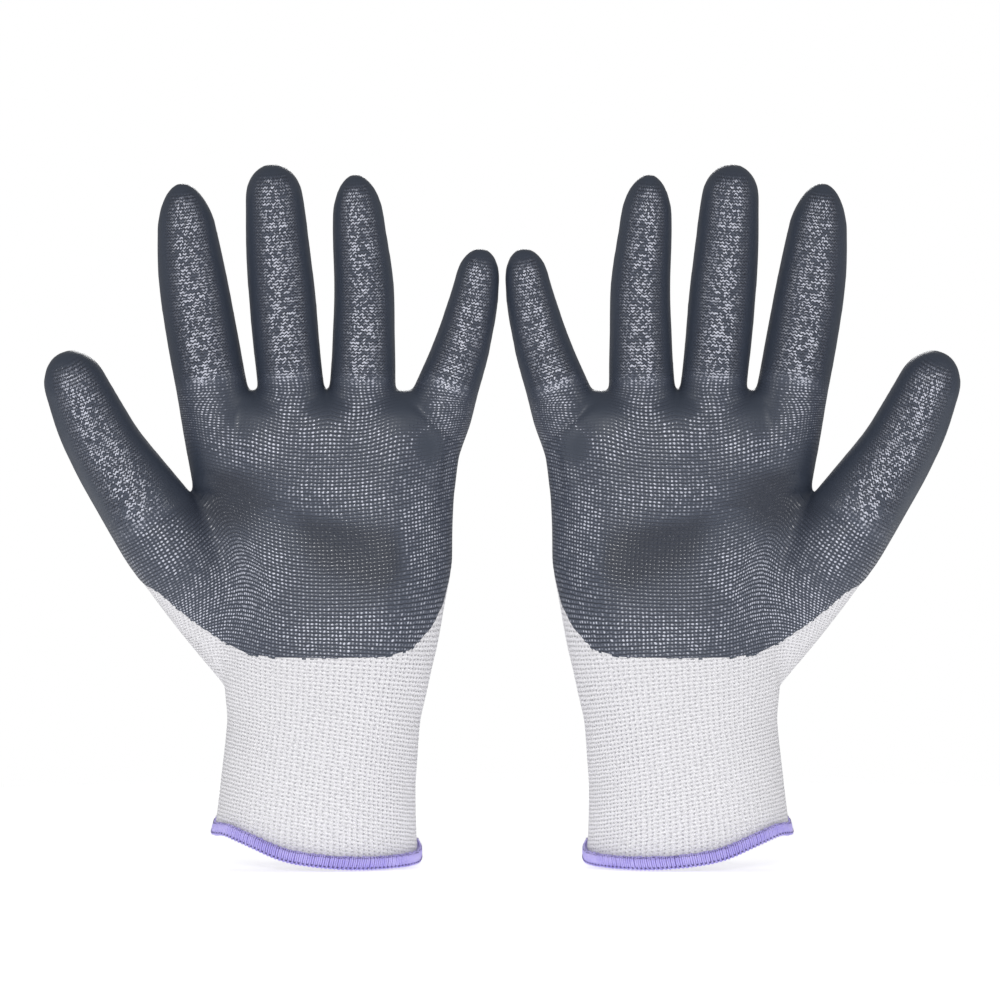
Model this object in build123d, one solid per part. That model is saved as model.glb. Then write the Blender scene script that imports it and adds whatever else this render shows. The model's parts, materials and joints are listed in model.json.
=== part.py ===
from build123d import *
import math
import os
from dataclasses import dataclass

# A pair of palm-dipped knit work gloves, standing upright and filled out as the wearer's
# hands hold them: fingers up (+Z), palms to the front (-Y), thumbs outwards. The left glove
# is modelled, on the -X side, and the right glove is its mirror image. Each glove is a knit
# liner with an elastic cuff, a dipped rubber coating on the palm side and round the
# fingertips, and an overlock hem. Liner and coating are divided where each digit bends.
# Millimetres. X is measured from the plane midway between the gloves.

# ---- Driving dimensions ------------------------------------------------------------------
LINER_WALL = 1.1          # knit thickness
COAT_WALL = 0.6           # dipped coating thickness
HEM_HEIGHT = 5.0          # height of the overlocked edge
HEM_PROUD = 0.9           # how far the hem stands out of the cuff
HEM_INSIDE = 0.4          # how far the hem stands in past the cuff's inner face
CUFF_TOP = 62.0           # height where the elastic cuff meets the hand
BEND_GAP = 0.5            # gap across a bend, between the two sides
HINGE_CLEARANCE = 0.5     # how far a bend's axis lies in front of the coating
COAT_SIDE_Y = 3.0         # the palm coating ends here, just behind the sides of the hand
TIP_CAP = 15.0            # length of each tip that is coated all round
COAT_SIDE_SHARE = 0.2     # on a digit the coating ends this share of its radius behind its axis
SQUARENESS = 2.5          # superellipse exponent of the hand's cross-sections
SECTION_POINTS = 16

# The lower edge of the cuff lies in a sloping plane, lowest at the front and little-finger side.
HEM_CENTRE = Vector(-67.0, 0.0, 9.6)
HEM_SLOPE_X = -0.12       # rise per millimetre towards +X
HEM_SLOPE_Y = 0.37        # rise per millimetre towards the back


@dataclass
class Section:
    """One level cross-section of the hand: height, side edges, front-to-back depth."""
    z: float
    left: float
    right: float
    depth: float


HAND_SECTIONS = (
    Section(-14.0, -106.5, -28.0, 47.5),
    Section(12.0, -103.4, -30.8, 45.0),
    Section(31.0, -100.2, -31.2, 43.0),
    Section(53.0, -97.8, -29.2, 41.0),
    Section(76.0, -101.0, -23.8, 39.5),
    Section(104.0, -107.0, -18.6, 37.0),
    Section(132.0, -109.6, -18.0, 34.0),
    Section(151.0, -111.2, -14.6, 30.0),
    Section(167.5, -114.0, -9.8, 27.0),
)


@dataclass
class Digit:
    """A digit as two tapered tubes: root segment and tip segment, each with its own direction."""
    name: str
    root: tuple           # centre of the bend at the hand
    radii: tuple          # outer radius at the root bend, the middle bend and the start of the dome
    lengths: tuple        # root bend to middle bend, middle bend to start of dome, dome
    leans: tuple          # sideways lean of each segment, degrees, positive towards -X
    pitches: tuple        # forward lean of each segment, degrees
    stub: float           # length of the stub that the hand keeps below the root bend


DIGITS = (
    Digit("index", (-103.6, -0.5, 176.0), (13.3, 12.6, 9.6), (27.0, 28.5, 13.0), (11.5, 6.5),
          (3.0, 9.0), 26.0),
    Digit("middle", (-76.3, -1.0, 177.0), (12.1, 11.8, 9.6), (28.0, 32.5, 13.0), (5.2, 4.2),
          (3.0, 9.0), 26.0),
    Digit("ring", (-49.8, -0.5, 176.0), (11.4, 10.6, 8.6), (28.0, 30.5, 12.5), (-1.0, 5.0),
          (3.0, 9.0), 26.0),
    Digit("little", (-19.6, 0.5, 173.5), (11.3, 9.6, 7.3), (21.0, 16.0, 11.5), (-19.5, -10.0),
          (3.0, 8.0), 26.0),
    Digit("thumb", (-126.8, -5.0, 127.0), (15.2, 12.9, 11.2), (30.0, 20.5, 12.5), (33.0, 22.5),
          (8.0, 16.0), 76.0),
)
THUMB_STUB_TAPER = 0.05   # the thumb's base narrows this much per millimetre towards the wrist

# Lower edge of the palm coating, from the thumb side to the little-finger side: (x, z).
COAT_EDGE = ((-150.0, 118.0), (-124.6, 100.0), (-98.9, 80.0), (-84.0, 75.0), (-48.0, 75.0),
             (-30.0, 80.0), (-18.7, 102.0), (0.0, 140.0))


# ---- Directions and bends ----------------------------------------------------------------
def direction(lean, pitch):
    """Unit vector up a digit that leans sideways and forwards by these angles."""
    lean, pitch = math.radians(lean), math.radians(pitch)
    return Vector(-math.sin(lean) * math.cos(pitch), -math.sin(pitch), math.cos(lean) * math.cos(pitch))


@dataclass
class Bend:
    """A hinge across a digit: centre and plane of the cut, and the hinge line in front of it."""
    centre: Vector
    normal: Vector
    radius: float

    @property
    def axis(self):
        """Turning about this axis brings the digit forward."""
        return Vector(0, 1, 0).cross(self.normal).normalized()

    @property
    def back(self):
        return self.normal.cross(self.axis)

    @property
    def pivot(self):
        return self.centre - self.back * (self.radius + COAT_WALL + HINGE_CLEARANCE)

    def plane(self, shift=0.0):
        return Plane(origin=self.centre + self.normal * shift, x_dir=self.axis, z_dir=self.normal)


def bends(digit):
    """The digit's root and middle bends."""
    lower, upper = (direction(*angles) for angles in zip(digit.leans, digit.pitches))
    root = Vector(*digit.root)
    middle = root + lower * digit.lengths[0]
    return (Bend(root, lower, digit.radii[0]),
            Bend(middle, (lower + upper).normalized(), digit.radii[1]))


def above(shape, bend):
    """What lies past a bend, on the fingertip side."""
    return split(shape, bisect_by=bend.plane(BEND_GAP / 2), keep=Keep.TOP)


def below(shape, bend):
    """What lies before a bend, on the wrist side."""
    return split(shape, bisect_by=bend.plane(-BEND_GAP / 2), keep=Keep.BOTTOM)


# ---- Solid bodies of the hand and the digits, swollen or shrunk by an offset --------------
def hand_body(offset):
    """The hand and cuff as one smooth loft."""
    faces = []
    for index, section in enumerate(HAND_SECTIONS):
        half_width = (section.right - section.left) / 2 + offset
        half_depth = section.depth / 2 + offset
        centre_x = (section.right + section.left) / 2
        top = index == len(HAND_SECTIONS) - 1
        height = section.z + (offset if top else 0.0)
        points = []
        for step in range(SECTION_POINTS):
            angle = 2 * math.pi * step / SECTION_POINTS
            cosine, sine = math.cos(angle), math.sin(angle)
            points.append((
                centre_x + half_width * math.copysign(abs(cosine) ** (2 / SQUARENESS), cosine),
                half_depth * math.copysign(abs(sine) ** (2 / SQUARENESS), sine),
                height,
            ))
        faces.append(Face(Wire(Edge.make_spline([Vector(*p) for p in points], periodic=True))))
    return Part(Solid.make_loft([face.outer_wire() for face in faces]).wrapped)


def stub_body(digit, offset, overrun=0.0):
    """The stretch of a digit that belongs to the hand, below its root bend."""
    bend = bends(digit)[0]
    taper = THUMB_STUB_TAPER if digit.name == "thumb" else 0.0
    length = digit.stub + overrun
    foot = Plane(origin=bend.centre - bend.normal * digit.stub, x_dir=bend.axis, z_dir=bend.normal)
    top_radius = digit.radii[0] + offset
    cone = Cone(top_radius - taper * digit.stub, top_radius + taper * overrun + 1e-3, length,
                align=(Align.CENTER, Align.CENTER, Align.MIN))
    return foot * cone


def root_body(digit, offset):
    """The root segment as a cone that runs past both of its bends."""
    start = bends(digit)[0]
    overrun = 5.0
    slope = (digit.radii[1] - digit.radii[0]) / digit.lengths[0]
    low, high = -overrun, digit.lengths[0] + overrun
    cone = Cone(digit.radii[0] + slope * low + offset, digit.radii[0] + slope * high + offset,
                high - low, align=(Align.CENTER, Align.CENTER, Align.MIN))
    return start.plane(low) * cone


def tip_body(digit, offset):
    """The tip segment: a tapered tube that ends in a dome, running back past the middle bend."""
    overrun = 5.0
    _, shaft, dome = digit.lengths
    slope = (digit.radii[2] - digit.radii[1]) / shaft
    upper = direction(digit.leans[1], digit.pitches[1])
    start = bends(digit)[1].centre
    frame = Plane(origin=start, x_dir=Vector(0, 1, 0).cross(upper).normalized(), z_dir=upper)
    foot_radius = digit.radii[1] - slope * overrun + offset
    dome_radius = digit.radii[2] + offset
    outline = Line((0, -overrun), (foot_radius, -overrun))
    outline += Line((foot_radius, -overrun), (dome_radius, shaft))
    outline += Spline((dome_radius, shaft), (0, shaft + dome + offset),
                      tangents=((slope, 1), (-1, 0)), tangent_scalars=(1.25, 1.25))
    outline += Line((0, shaft + dome + offset), (0, -overrun))
    profile = make_face(Plane.XZ * outline)
    return frame * revolve(profile, axis=Axis.Z)


def tip_frame(digit):
    """Plane at the middle bend, looking along the tip segment."""
    upper = direction(digit.leans[1], digit.pitches[1])
    return Plane(origin=bends(digit)[1].centre, x_dir=Vector(0, 1, 0).cross(upper).normalized(), z_dir=upper)


# ---- Sub-parts ---------------------------------------------------------------------------
def hem_plane(height):
    """The sloping plane of the lower edge, moved up square to itself."""
    normal = Vector(-HEM_SLOPE_X, -HEM_SLOPE_Y, 1).normalized()
    return Plane(origin=HEM_CENTRE + normal * height, z_dir=normal)


def hand_outer(offset):
    """Hand, finger stubs and thumb base as one body, each stub ending at its root bend."""
    body = hand_body(offset)
    for digit in DIGITS:
        body += below(stub_body(digit, offset, overrun=1.0), bends(digit)[0])
    return body


def hand_cavity():
    """The space inside the hand, open into every digit."""
    cavity = hand_body(-LINER_WALL)
    for digit in DIGITS:
        cavity += stub_body(digit, -LINER_WALL, overrun=3.0)
    return cavity


def hand_and_cuff(skin):
    """The liner of the hand, and the elastic cuff that runs on below it."""
    shell = skin - hand_cavity()
    shell = split(shell, bisect_by=hem_plane(HEM_HEIGHT), keep=Keep.TOP)
    at_cuff_top = Plane.XY.offset(CUFF_TOP)
    return (split(shell, bisect_by=at_cuff_top, keep=Keep.TOP),
            split(shell, bisect_by=at_cuff_top, keep=Keep.BOTTOM))


def hem():
    """The overlocked edge: a low ring round the bottom of the cuff."""
    ring = hand_body(HEM_PROUD) - hand_body(-LINER_WALL - HEM_INSIDE)
    ring = split(ring, bisect_by=hem_plane(0.0), keep=Keep.TOP)
    return split(ring, bisect_by=hem_plane(HEM_HEIGHT), keep=Keep.BOTTOM)


def palm_coating(skin):
    """The dipped layer over the palm and the sides of the hand, above its curved lower edge."""
    layer = hand_outer(COAT_WALL) - skin
    edge = Spline(*COAT_EDGE[1:-1], tangents=((1, -0.78), (0.35, 1)))
    outline = Line(COAT_EDGE[0], COAT_EDGE[1]) + edge + Line(COAT_EDGE[-2], COAT_EDGE[-1])
    outline += Polyline(COAT_EDGE[-1], (0.0, 200.0), (-150.0, 200.0), COAT_EDGE[0])
    region = extrude(make_face(Plane.XZ * outline), amount=60.0, both=True)
    front = Pos(0, COAT_SIDE_Y, 0) * Box(400, 200, 600, align=(Align.CENTER, Align.MAX, Align.CENTER))
    return layer & (region & front)


def root_segment(digit):
    """Liner and coating of the stretch between the two bends."""
    start, end = bends(digit)
    skin = root_body(digit, 0.0)
    liner = below(above(skin - root_body(digit, -LINER_WALL), start), end)
    layer = below(above(root_body(digit, COAT_WALL) - skin, start), end)
    return liner, layer - back_block(digit, start.plane(), digit.lengths[0] + 20.0)


def tip_segment(digit):
    """Liner and coating past the middle bend. The coating goes all round the fingertip."""
    bend = bends(digit)[1]
    skin = tip_body(digit, 0.0)
    liner = above(skin - tip_body(digit, -LINER_WALL), bend)
    layer = above(tip_body(digit, COAT_WALL) - skin, bend)
    reach = digit.lengths[1] + digit.lengths[2] - TIP_CAP
    return liner, layer - back_block(digit, tip_frame(digit), reach)


def back_block(digit, frame, reach):
    """A block behind the sides of a digit, up to a height along it."""
    block = Box(80, 60, reach + 20, align=(Align.CENTER, Align.MIN, Align.MIN))
    return frame * Pos(0, COAT_SIDE_SHARE * digit.radii[1], -20) * block


def left_glove():
    """Every sub-part of the left glove, by name."""
    skin = hand_outer(0.0)
    hand_liner, cuff = hand_and_cuff(skin)
    parts = {
        "hand_liner": hand_liner,
        "elastic_cuff": cuff,
        "overlock_hem": hem(),
        "palm_coating": palm_coating(skin),
    }
    for digit in DIGITS:
        for segment, pieces in (("root", root_segment(digit)), ("tip", tip_segment(digit))):
            parts[f"{digit.name}_{segment}_liner"] = pieces[0]
            parts[f"{digit.name}_{segment}_coating"] = pieces[1]
    return parts


# ---- The pair ----------------------------------------------------------------------------
def pair_of_gloves():
    """All nodes of the pair, with the origin at the bottom centre of their common box."""
    nodes = {}
    for name, shape in left_glove().items():
        nodes[f"left_{name}"] = shape
        nodes[f"right_{name}"] = mirror(shape, about=Plane.YZ)
    box = Compound([solid for shape in nodes.values() for solid in shape.solids()]).bounding_box()
    shift = Vector(0, -(box.min.Y + box.max.Y) / 2, -box.min.Z)
    return {name: Pos(shift) * shape for name, shape in nodes.items()}, shift


def main():
    os.makedirs("parts", exist_ok=True)
    nodes, shift = pair_of_gloves()
    for name, shape in nodes.items():
        export_step(shape, f"parts/{name}.step")
    print("nodes", len(nodes), "shift", shift)
    for digit in DIGITS:
        for label, bend in zip(("root", "middle"), bends(digit)):
            print(digit.name, label, "pivot", bend.pivot + shift, "axis", bend.axis)


if __name__ == "__main__":
    main()
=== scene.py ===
import json
import math

import bmesh
import bpy
import numpy as np
from mathutils import Matrix, Vector


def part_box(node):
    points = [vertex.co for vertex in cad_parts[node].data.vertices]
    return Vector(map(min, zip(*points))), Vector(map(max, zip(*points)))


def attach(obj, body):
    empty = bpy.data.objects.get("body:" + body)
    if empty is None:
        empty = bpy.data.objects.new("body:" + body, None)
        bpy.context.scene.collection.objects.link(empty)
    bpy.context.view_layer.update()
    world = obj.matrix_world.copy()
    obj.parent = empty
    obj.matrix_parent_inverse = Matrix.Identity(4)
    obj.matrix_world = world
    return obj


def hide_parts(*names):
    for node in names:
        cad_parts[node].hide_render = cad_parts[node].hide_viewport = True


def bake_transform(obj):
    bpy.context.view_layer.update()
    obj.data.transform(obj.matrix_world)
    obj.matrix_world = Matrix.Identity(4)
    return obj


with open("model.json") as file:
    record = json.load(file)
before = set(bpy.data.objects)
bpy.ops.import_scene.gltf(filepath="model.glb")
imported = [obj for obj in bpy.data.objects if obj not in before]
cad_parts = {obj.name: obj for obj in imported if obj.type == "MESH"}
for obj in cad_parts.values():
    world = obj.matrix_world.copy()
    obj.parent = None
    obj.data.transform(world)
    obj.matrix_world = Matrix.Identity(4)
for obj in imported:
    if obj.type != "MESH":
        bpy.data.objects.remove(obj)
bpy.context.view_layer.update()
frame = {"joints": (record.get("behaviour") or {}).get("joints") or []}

# A pair of palm-dipped knit work gloves, filled out as on the wearer's hands, palms to the front.
# The left glove is made first, in metres and in the frame's own axes, and the right glove is
# its mirror image. One closed skin is shaped for the whole glove and then cut at the bends.

MM = 0.001

# ---- Driving sizes -----------------------------------------------------------------------
KNIT_WALL = 1.1 * MM
COAT_WALL = 0.42 * MM         # rubber standing up from the knit
COAT_EDGE_WALL = 0.10 * MM    # the rubber thins to this at its edge
HINGE_GAP = 1.1 * MM          # from the skin of a digit to its bend's axis in front of it
SKIN_GRID = 1.1 * MM          # size of the skin's mesh faces
SMOOTH_PASSES = 14            # over the whole skin
FOOT_PASSES = 60              # more of them where the thumb meets the palm
SMOOTH_SHARE = 0.5            # of the way to its neighbours' middle that a point moves in a pass
SKIN_FILL = 0.30 * MM         # put back after smoothing, which draws the skin in
BEND_REACH = 12 * MM          # a digit's centre line is rounded this far either side of its middle bend
FOOT_REACH = 12 * MM          # a digit goes on widening this far down inside the hand
TIP_RISE = 0.3 * MM           # a slanting dome's top stands this far above its centre line's end
DIGIT_DEPTH = 0.97            # front to back of a digit, as a share of its width
CUFF_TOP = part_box("left_elastic_cuff")[1][2]
STITCH_REPEAT = 4.2           # millimetres: the widths of knit and rubber patterns both divide it
HAND_WALES = 54               # repeats of the pattern round the hand
PALM_MIDDLE = -64             # millimetres: where the palm's wales are counted from

HEM_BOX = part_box("left_overlock_hem")
HEM_MIDDLE = Vector(((HEM_BOX[0][0] + HEM_BOX[1][0]) / 2, 1.75 * MM, 10.45 * MM))
HEM_NORMAL = Vector((0.12, -0.37, 1)).normalized()
HEM_HEIGHT = 5.0 * MM

# Level cross-sections of the hand, in millimetres: height, side edges, depth, squareness.
HAND_SECTIONS = (
    (-14.0, -106.5, -28.0, 47.5, 2.1),
    (12.0, -103.2, -31.0, 45.0, 2.1),
    (31.0, -100.4, -31.4, 43.0, 2.1),
    (53.0, -98.0, -29.4, 41.0, 2.2),
    (76.0, -100.5, -24.0, 39.0, 2.3),
    (104.0, -106.0, -18.7, 35.5, 2.4),
    (132.0, -110.5, -18.0, 31.5, 2.5),
    (145.0, -111.3, -16.2, 28.5, 2.5),
    (155.0, -112.3, -14.0, 27.0, 2.5),
    (161.0, -112.8, -12.6, 25.0, 2.5),
    (165.0, -113.2, -11.8, 21.0, 2.5),
    (169.0, -113.6, -11.0, 11.0, 2.4),
)
CAD_LIFT = Vector((0, 1.74 * MM, 0.84 * MM))  # from the sections' own zero to the frame's


class Digit:
    """A finger or thumb: its bends from the frame, and its own girth and direction.

    Lengths are in millimetres and angles in degrees. leans and pitches are those of the stretches
    below and above the middle bend, and aside moves the two bends' middles sideways.
    """

    def __init__(self, name, radii, dome, leans, pitches, root_depth, point=0.0, aside=(0.0, 0.0)):
        self.name = name
        self.tip_point = point                      # 0 for a round tip, 1 for a pointed one
        self.radii = [r * MM for r in radii]        # root bend, middle bend, shoulder of the dome
        self.dome = dome * MM
        self.root_depth = root_depth * MM           # how far it runs down inside the hand
        self.lower, self.upper = (self.along(*pair) for pair in zip(leans, pitches))
        self.root = self.centre("knuckle", self.lower, self.radii[0], aside[0])
        self.middle = self.centre("middle", (self.lower + self.upper).normalized(), self.radii[1],
                                  aside[1])
        self.first = (self.middle - self.root).length
        self.lower = (self.middle - self.root).normalized()
        tip_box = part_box(f"left_{name}_tip_liner")
        self.second = (tip_box[1][2] - self.middle.z) / self.upper.z - TIP_RISE
        self.wales = round(2 * math.pi * self.radii[0] / MM / STITCH_REPEAT) * STITCH_REPEAT

    @staticmethod
    def along(lean, pitch):
        """Direction of a stretch that leans towards -X and pitches towards the palm, in degrees."""
        lean, pitch = math.radians(lean), math.radians(pitch)
        return Vector((-math.sin(lean) * math.cos(pitch), -math.sin(pitch),
                       math.cos(lean) * math.cos(pitch)))

    def centre(self, bend, normal, radius, aside):
        """The middle of the digit at a bend, from the bend's axis in front of it."""
        joint = next(j for j in frame["joints"] if j["name"] == f"left_{self.name}_{bend}_bend")
        across = Vector((0, 1, 0)).cross(normal).normalized()
        back = normal.cross(across)
        return Vector(joint["pos_m"]) + back * (radius + HINGE_GAP) + across * (aside * MM)

    def point(self, s):
        """Centre line, s metres past the root bend, rounded over the middle bend."""
        straight = self.root + self.lower * s if s < self.first else (
            self.middle + self.upper * (s - self.first))
        t = (s - self.first) / BEND_REACH
        if abs(t) >= 1:
            return straight
        sag = BEND_REACH / 4 * (1 - abs(t)) ** 2
        return straight + (self.upper - self.lower) * sag

    def direction(self, s):
        t = min(max((s - self.first) / (2 * BEND_REACH) + 0.5, 0), 1)
        return self.lower.lerp(self.upper, t).normalized()

    def girth(self, s):
        """Radius at s: two straight tapers, then a rounded tip."""
        length = self.first + self.second
        shoulder = length - self.dome
        root, middle, top = self.radii
        if s <= self.first:
            return root + (middle - root) * max(s, -FOOT_REACH) / self.first
        if s <= shoulder:
            t = (s - self.first) / (shoulder - self.first)
            return middle + (top - middle) * t ** 1.5
        t = min((s - shoulder) / self.dome, 1)
        return top * max(1 - t ** (2.1 - 0.5 * self.tip_point), 0) ** (0.5 + 0.05 * self.tip_point)


DIGITS = (
    Digit("index", (12.1, 11.9, 9.9), 17.0, (11.5, 6.5), (3.0, 9.0), 34, point=1.0, aside=(-1.4, -0.8)),
    Digit("middle", (11.2, 11.3, 9.7), 12.5, (5.2, 4.2), (3.0, 9.0), 34),
    Digit("ring", (11.0, 10.1, 8.5), 15.0, (-1.0, 5.0), (3.0, 9.0), 34, point=0.8, aside=(0.0, 0.3)),
    Digit("little", (10.4, 8.8, 7.3), 12.0, (-19.5, -10.0), (3.0, 8.0), 30, point=0.3, aside=(1.0, 0.9)),
    Digit("thumb", (15.2, 12.6, 10.6), 13.5, (33.0, 22.5), (8.0, 16.0), 78, point=0.4, aside=(0.0, -0.4)),
)


# ---- Small helpers -----------------------------------------------------------------------
def smoothstep(low, high, x):
    t = np.clip((x - low) / (high - low), 0, 1)
    return t * t * (3 - 2 * t)


def rounded_least(a, b, size):
    """The lesser of two distances, with the corner where they are equal rounded off."""
    return np.minimum(a, b) - size * np.log1p(np.exp(-np.abs(a - b) / size))


def deselect_all():
    bpy.ops.object.select_all(action="DESELECT")


def mesh_object(name, points, faces):
    mesh = bpy.data.meshes.new(name)
    mesh.from_pydata([tuple(p) for p in points], [], faces)
    mesh.update()
    obj = bpy.data.objects.new(name, mesh)
    bpy.context.scene.collection.objects.link(obj)
    return obj


def make_active(obj):
    deselect_all()
    obj.select_set(True)
    bpy.context.view_layer.objects.active = obj


def closed_loft(name, rings):
    """A closed skin through rings of equal point counts, with a fan at each end."""
    count = len(rings[0])
    points = [p for ring in rings for p in ring]
    faces = []
    for row in range(len(rings) - 1):
        for k in range(count):
            a, b = row * count + k, row * count + (k + 1) % count
            faces.append((a, b, b + count, a + count))
    for ring_start, order in ((0, -1), ((len(rings) - 1) * count, 1)):
        middle = sum((Vector(p) for p in points[ring_start:ring_start + count]), Vector()) / count
        points.append(middle)
        for k in range(count):
            edge = (ring_start + k, ring_start + (k + 1) % count)
            faces.append((*edge[::order], len(points) - 1))
    return mesh_object(name, points, faces)


# ---- The skin of one glove ---------------------------------------------------------------
def hand_section(z):
    """Cross-section of the hand at a height in millimetres, between the listed ones."""
    heights = [row[0] for row in HAND_SECTIONS]
    return [float(np.interp(z, heights, [row[k] for row in HAND_SECTIONS])) for k in range(1, 5)]


def hand_point(z, angle):
    """A point of the hand's surface, at a height in millimetres and an angle round it."""
    left, right, depth, square = hand_section(z)
    cosine, sine = math.cos(angle), math.sin(angle)
    x = (left + right) / 2 + (right - left) / 2 * math.copysign(abs(cosine) ** (2 / square), cosine)
    y = depth / 2 * math.copysign(abs(sine) ** (2 / square), sine)
    return Vector((x, y, z)) * MM + CAD_LIFT


def hand_loft():
    angles = np.linspace(0, 2 * math.pi, 64, endpoint=False)
    heights = np.arange(HAND_SECTIONS[0][0], HAND_SECTIONS[-1][0] + 0.1, 3.0)
    return closed_loft("hand_form", [[hand_point(z, angle) for angle in angles] for z in heights])


def digit_loft(digit):
    rings = []
    length = digit.first + digit.second
    shaft = np.arange(-digit.root_depth, length - digit.dome, 2.5 * MM)
    dome = length - digit.dome * (1 - np.sin(np.linspace(0, math.pi / 2, 10)[:-1]))
    for s in [*shaft, *dome]:
        middle, up = digit.point(s), digit.direction(s)
        across = Vector((0, 1, 0)).cross(up).normalized()
        back = up.cross(across)
        radius = digit.girth(s)
        if digit.name == "thumb" and s < 0:
            radius *= 1 - 0.30 * (s / digit.root_depth) ** 2
        ring = []
        for angle in np.linspace(0, 2 * math.pi, 32, endpoint=False):
            ring.append(middle + across * (radius * math.cos(angle))
                        + back * (radius * DIGIT_DEPTH * math.sin(angle)))
        rings.append(ring)
    return closed_loft(f"{digit.name}_form", rings)


def merged_skin():
    """All forms merged into one even skin, smoothed so that the webs round over."""
    forms = [hand_loft()] + [digit_loft(digit) for digit in DIGITS]
    make_active(forms[0])
    for form in forms:
        form.select_set(True)
    bpy.ops.object.join()
    skin = bpy.context.view_layer.objects.active
    skin.name = "left_skin"
    remesh = skin.modifiers.new("even", "REMESH")
    remesh.mode = "VOXEL"
    remesh.voxel_size = SKIN_GRID
    bpy.ops.object.modifier_apply(modifier=remesh.name)
    smooth_skin(skin, SMOOTH_PASSES)
    soften_thumb_foot(skin)
    return skin


def smooth_skin(skin, passes, group=""):
    smooth = skin.modifiers.new("round", "SMOOTH")
    smooth.factor = SMOOTH_SHARE
    smooth.iterations = passes
    smooth.vertex_group = group
    bpy.ops.object.modifier_apply(modifier=smooth.name)


THUMB_FOOT = (-112, 109)      # millimetres across and up: the middle of the ball of the thumb


def soften_thumb_foot(skin):
    """Extra smoothing where the thumb's form meets the palm's, which is one even ball."""
    co = points_of(skin.data) / MM
    from_foot = np.hypot(co[:, 0] - THUMB_FOOT[0], co[:, 2] - THUMB_FOOT[1])
    weight = smoothstep(27, 11, from_foot)
    group = skin.vertex_groups.new(name="thumb_foot")
    for index in np.flatnonzero(weight > 0.01):
        group.add([int(index)], float(weight[index]), "REPLACE")
    smooth_skin(skin, FOOT_PASSES, group.name)


class Dent:
    """A soft bulge (height over 0) or hollow of the filled glove, seen from the palm side."""

    def __init__(self, x, z, long, wide, turn, height):
        self.x, self.z = x * MM, z * MM
        self.long, self.wide = long * MM, wide * MM
        self.turn = math.radians(turn)                # of its long side, from upright towards -X
        self.height = height * MM

    def lift(self, co):
        dx, dz = co[:, 0] - self.x, co[:, 2] - self.z
        along = -dx * math.sin(self.turn) + dz * math.cos(self.turn)
        across = dx * math.cos(self.turn) + dz * math.sin(self.turn)
        return self.height * np.exp(-(along / self.long) ** 2 - (across / self.wide) ** 2)


PALM_SHAPE = (
    Dent(-117, 103, 27, 15, 33, 2.6),       # ball of the thumb
    Dent(-37, 100, 28, 14, -4, 1.7),        # heel of the little-finger side
    Dent(-78, 121, 34, 14, 66, -2.6),       # hollow that runs from the thumb's root
    Dent(-90, 150, 13, 9, 0, 0.8),          # pads below the fingers
    Dent(-62, 151, 13, 9, 0, 0.9),
    Dent(-36, 148, 13, 9, -10, 0.9),
)
PALM_CREASES = (
    Dent(-23.5, 158.5, 9, 1.3, 52, -1.3),   # across the root of the little finger
    Dent(-20.5, 140, 11, 1.5, -8, -1.1),    # down the little-finger edge
    Dent(-24.5, 139, 12, 2.0, -12, 0.7),
    Dent(-121, 125, 7, 1.8, -50, -1.0),     # at the thumb's root
    Dent(-108, 134, 6, 2.0, 78, -0.9),
    Dent(-88, 169, 5, 1.6, 20, -0.6),
    Dent(-62.5, 169, 5, 1.6, 5, -0.6),
)


def points_of(mesh, what="co"):
    values = np.empty(len(mesh.vertices) * 3)
    mesh.vertices.foreach_get(what, values)
    return values.reshape(-1, 3)


def move_points(mesh, co):
    mesh.vertices.foreach_set("co", co.ravel())
    mesh.update()


SLOW_WAVE = 0.16              # millimetres: uneven filling over the whole glove


def shape_skin(skin):
    """The skin's own bulges, hollows and creases, as vertex moves along its normals."""
    mesh = skin.data
    co, normal = points_of(mesh), points_of(mesh, "normal")
    front = smoothstep(0.1, 0.75, -normal[:, 1])
    lift = sum(dent.lift(co) for dent in PALM_SHAPE + PALM_CREASES) * front
    x, y, z = co.T
    slow = (np.sin(x * 170 + z * 90) * np.sin(z * 140 + y * 210)) * SLOW_WAVE * MM
    co += normal * (lift + slow + SKIN_FILL)[:, None]
    move_points(mesh, co)


# ---- Where a point of the skin lies ------------------------------------------------------
# All of these are in millimetres, across and up the palm.
# Where the knit's rows arch up: middle, half width, half height and rise.
ROW_ARCHES = ((-106, 98, 18, 34, 9.0), (-89, 166, 7, 14, 3.2), (-62, 168, 6, 13, 2.6),
              (-37, 163, 8, 14, 3.2))
# Plain rubber in the webs between digits: middle and reach.
PLAIN_WEBS = ((-91, 165, 8.5), (-63, 167, 7), (-34, 164, 8.5), (-112, 139, 11), (-26, 150, 5))
# Patches of painted highlight on the palm's beads: middle, half width and half height.
PAINTED_HIGHLIGHT_PATCHES = ((-92, 150, 13, 7), (-64, 154, 9, 6), (-38, 152, 10, 6), (-64, 130, 22, 8),
                (-30, 118, 6, 18), (-58, 84, 26, 6))
# Painted shade along the palm's hollow, from the thumb's root towards the heel: start, way, length and
# half width.
HOLLOW_START, HOLLOW_WAY, HOLLOW_LENGTH, HOLLOW_WIDTH = (-112, 137), (68.0, -27.0), 73, 10.5
# A painted highlight in an arc round the ball of the thumb: middle, radius and half width.
BALL_MIDDLE, BALL_RADIUS, BALL_WIDTH = (-112, 128), 33, 11
# Lower edge of the rubber on the palm side, from the thumb's side to the little finger's.
COAT_EDGE = ((-150, 118), (-124.6, 100), (-111, 88.4), (-98.9, 80), (-90.3, 76), (-80, 74.8),
             (-60, 74.6), (-42, 75), (-32.6, 77.4), (-25.4, 85), (-21.1, 93.5), (-18.0, 103),
             (-5, 135))
DIPPED_TIP = 15.5             # the rubber goes all round a digit for this length
DIPPED_ANGLE = 100            # degrees that it reaches to either side of a digit's front


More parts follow.
